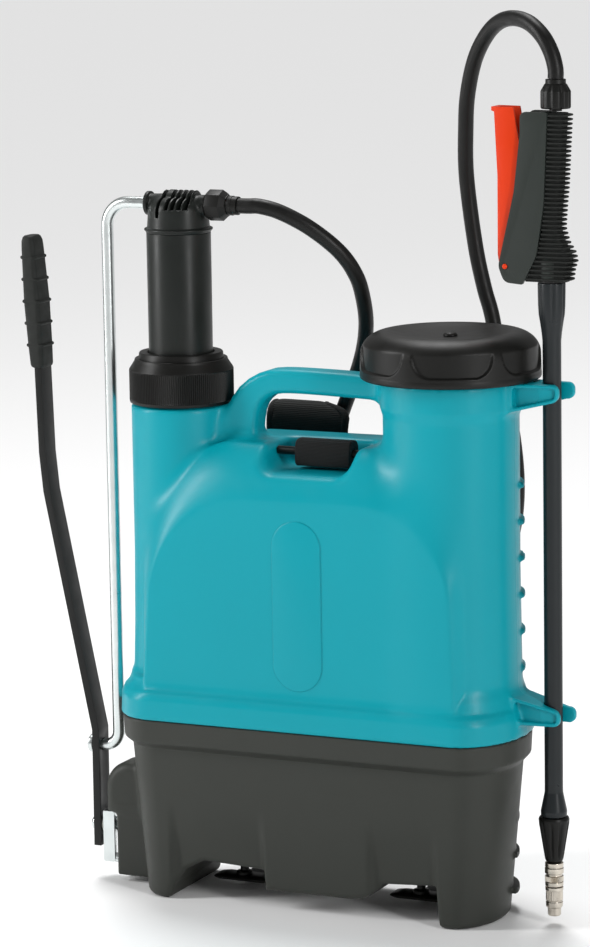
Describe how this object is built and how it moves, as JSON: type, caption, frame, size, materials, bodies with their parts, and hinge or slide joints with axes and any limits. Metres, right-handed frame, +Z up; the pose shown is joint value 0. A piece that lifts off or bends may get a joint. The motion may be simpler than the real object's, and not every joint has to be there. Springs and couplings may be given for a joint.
{
  "type": "backpack sprayer",
  "caption": "Backpack sprayer with an oblong tank on a separate base, screw-lid filler, upright side pump worked by a long lever, padded harness and a clipped-on trigger lance.",
  "frame": {"origin": "on the ground under the middle of the object's box, the hose left out", "axes": "+X from the lever towards the lance, +Y towards the wearer's back, +Z up"},
  "size_m": [0.5454, 0.2036, 0.8086],
  "materials": {
    "tank_plastic": "satin blow-moulded polyethylene",
    "base_plastic": "fine-textured moulded plastic",
    "black_plastic": "satin moulded plastic",
    "pump_plastic": "satin moulded plastic",
    "handle_plastic": "fine-textured moulded plastic",
    "lance_plastic": "smooth satin tube",
    "trigger_plastic": "satin moulded plastic",
    "natural_plastic": "natural moulded plastic",
    "grip_rubber": "soft ribbed moulding",
    "seal_rubber": "smooth",
    "hose_rubber": "smooth matt hose cover",
    "lever_paint": "black powder coat",
    "zinc_steel": "bright zinc plate",
    "nickel_brass": "nickel plate",
    "webbing": "woven polyester webbing",
    "pad_fabric": "ribbed padded fabric"
  },
  "bodies": {
    "root": {"tank": "tank_plastic", "base": "base_plastic", "filler_strainer": "natural_plastic", "pump_barrel": "natural_plastic", "pump_guide_ring": "natural_plastic", "foot_valve": "seal_rubber", "pivot_bracket": "zinc_steel", "pivot_bolt": "zinc_steel", "pivot_nut": "zinc_steel", "strap_pin": "black_plastic", "strap_loop": "webbing", "yoke_webbing": "webbing", "hose_pump_side": "hose_rubber", "hose_lance_side": "hose_rubber", "shoulder_pad_left": "pad_fabric", "pad_webbing_left": "webbing", "buckle_left": "black_plastic", "lower_webbing_left": "webbing", "strap_hook_left": "black_plastic", "shoulder_pad_right": "pad_fabric", "pad_webbing_right": "webbing", "buckle_right": "black_plastic", "lower_webbing_right": "webbing", "strap_hook_right": "black_plastic"},
    "lid_ring": {"lid_gasket": "seal_rubber"},
    "lid": {"filler_lid": "black_plastic", "lid_vent_valve": "black_plastic"},
    "collar": {"pump_collar": "black_plastic"},
    "pump": {"pressure_vessel": "pump_plastic", "pump_head": "pump_plastic", "pump_hose_nut": "black_plastic", "pump_hose_tail": "black_plastic", "piston": "natural_plastic", "piston_cup": "seal_rubber"},
    "lever": {"lever_bar": "lever_paint", "lever_grip": "grip_rubber", "pivot_bush": "natural_plastic"},
    "rod": {"link_rod": "zinc_steel", "rod_clip": "zinc_steel"},
    "lance": {"lance_tube": "lance_plastic", "lance_nut": "black_plastic", "lance_seal": "seal_rubber", "nozzle_body": "nickel_brass", "handle_body": "handle_plastic", "grip_cover": "grip_rubber", "trigger_pin": "trigger_plastic", "handle_hose_nut": "black_plastic", "handle_hose_tail": "black_plastic", "valve_stem": "zinc_steel"},
    "trigger": {"trigger": "trigger_plastic"},
    "nozzle": {"nozzle_cap": "nickel_brass"}
  },
  "joints": [
    {"name": "lid_lift", "type": "slide", "parent": "root", "child": "lid_ring", "axis": [0, 0, 1], "range_m": [0, 0.04]},
    {"name": "lid_turn", "type": "hinge", "parent": "lid_ring", "child": "lid", "pos_m": [0.1539, -0.0215, 0.5], "axis": [0, 0, 1], "range_deg": [0, 300]},
    {"name": "collar_turn", "type": "hinge", "parent": "root", "child": "collar", "pos_m": [-0.1111, -0.0215, 0.47], "axis": [0, 0, 1], "range_deg": [0, 300]},
    {"name": "lever_swing", "type": "hinge", "parent": "root", "child": "lever", "pos_m": [-0.2036, -0.0215, 0.0493], "axis": [-1, 0, 0], "range_deg": [0, 90]},
    {"name": "pump_slide", "type": "slide", "parent": "root", "child": "pump", "axis": [0, 0, -1], "range_m": [0, 0.08216]},
    {"name": "rod_swing", "type": "hinge", "parent": "lever", "child": "rod", "pos_m": [-0.2036, -0.0215, 0.1256], "axis": [-1, 0, 0], "range_deg": [-98.68, 0]},
    {"name": "lance_release", "type": "slide", "parent": "root", "child": "lance", "axis": [1, 0, 0], "range_m": [0, 0.08]},
    {"name": "trigger_squeeze", "type": "hinge", "parent": "lance", "child": "trigger", "pos_m": [0.2107, -0.0215, 0.59], "axis": [0, 1, 0], "range_deg": [0, 8], "stiffness_Nm_per_rad": 0.6, "springref_deg": -11.46},
    {"name": "nozzle_turn", "type": "hinge", "parent": "lance", "child": "nozzle", "pos_m": [0.2494, -0.0215, 0.02], "axis": [0, 0, 1], "range_deg": [0, 300]}
  ],
  "couplings": [
    {"joint": "pump_slide", "follows": "lever_swing", "m_per_rad": 0.05224},
    {"joint": "rod_swing", "follows": "lever_swing", "ratio": -1.0959}
  ]
}
